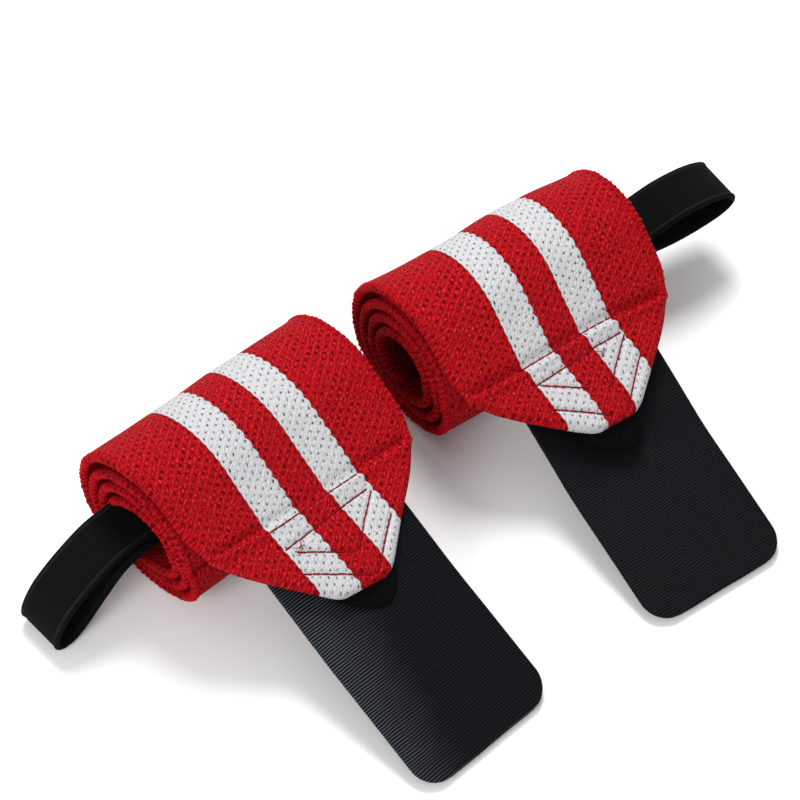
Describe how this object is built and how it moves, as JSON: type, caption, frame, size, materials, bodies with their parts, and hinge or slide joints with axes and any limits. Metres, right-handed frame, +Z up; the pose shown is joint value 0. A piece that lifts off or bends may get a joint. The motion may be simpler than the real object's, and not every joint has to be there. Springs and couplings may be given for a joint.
{
  "type": "wrist wrap pair",
  "caption": "Rolled pair of elastic wrist support wraps with knitted stripes, a sewn hook tab on each pointed outer end and an elastic thumb loop.",
  "frame": {"origin": "on the table under the middle of the left wrap's roll", "axes": "+X along the left wrap's roll axis towards the right wrap, +Z up, hook tabs towards -Y"},
  "size_m": [0.2514, 0.1436, 0.0486],
  "materials": {
    "red_webbing": "knitted",
    "black_tape": "woven nylon",
    "black_backing": "matte cloth",
    "hook_pile": "hook pile",
    "red_thread": "thread",
    "black_elastic": "ribbed elastic",
    "black_thread": "thread"
  },
  "bodies": {
    "left_roll": {"left_coil": "red_webbing", "left_loop_root": "black_elastic", "left_loop_tack": "black_thread"},
    "left_strap_end": {"left_flap": "red_webbing", "left_tip_backing": "black_backing", "left_tape_root": "black_tape", "left_root_hooks": "hook_pile", "left_seam_first": "red_thread", "left_seam_second": "red_thread", "left_seam_inner_v": "red_thread", "left_seam_outer_v": "red_thread"},
    "left_tab": {"left_hook_tab": "black_tape", "left_tab_hooks": "hook_pile"},
    "left_loop": {"left_thumb_loop": "black_elastic"},
    "right_roll": {"right_coil": "red_webbing", "right_loop_root": "black_elastic", "right_loop_tack": "black_thread"},
    "right_strap_end": {"right_flap": "red_webbing", "right_tip_backing": "black_backing", "right_tape_root": "black_tape", "right_root_hooks": "hook_pile", "right_seam_first": "red_thread", "right_seam_second": "red_thread", "right_seam_inner_v": "red_thread", "right_seam_outer_v": "red_thread"},
    "right_tab": {"right_hook_tab": "black_tape", "right_tab_hooks": "hook_pile"},
    "right_loop": {"right_thumb_loop": "black_elastic"}
  },
  "joints": [
    {"name": "left_flap_lift", "type": "hinge", "parent": "left_roll", "child": "left_strap_end", "pos_m": [0, -0.01371, 0.04265], "axis": [-1, 0, 0], "range_deg": [0, 70]},
    {"name": "left_tab_peel", "type": "hinge", "parent": "left_strap_end", "child": "left_tab", "pos_m": [0, -0.06459, 0.01566], "axis": [-1, 0, 0], "range_deg": [0, 60]},
    {"name": "left_loop_swing", "type": "hinge", "parent": "left_roll", "child": "left_loop", "pos_m": [-0.038, 0.0015, 0.0236], "axis": [0, 1, 0], "range_deg": [0, 35]},
    {"name": "right_flap_lift", "type": "hinge", "parent": "right_roll", "child": "right_strap_end", "pos_m": [0.09223, -0.027, 0.04216], "axis": [-0.9895, 0.1444, 0], "range_deg": [0, 70]},
    {"name": "right_tab_peel", "type": "hinge", "parent": "right_strap_end", "child": "right_tab", "pos_m": [0.08526, -0.07474, 0.01613], "axis": [-0.9895, 0.1444, 0], "range_deg": [0, 60]},
    {"name": "right_loop_swing", "type": "hinge", "parent": "right_roll", "child": "right_loop", "pos_m": [0.13212, -0.0168, 0.0236], "axis": [-0.1444, -0.9895, 0], "range_deg": [-20, 35]},
    {"name": "right_wrap_slide", "type": "slide", "parent": "left_roll", "child": "right_roll", "axis": [1, 0, 0], "range_m": [0, 0.1]}
  ]
}
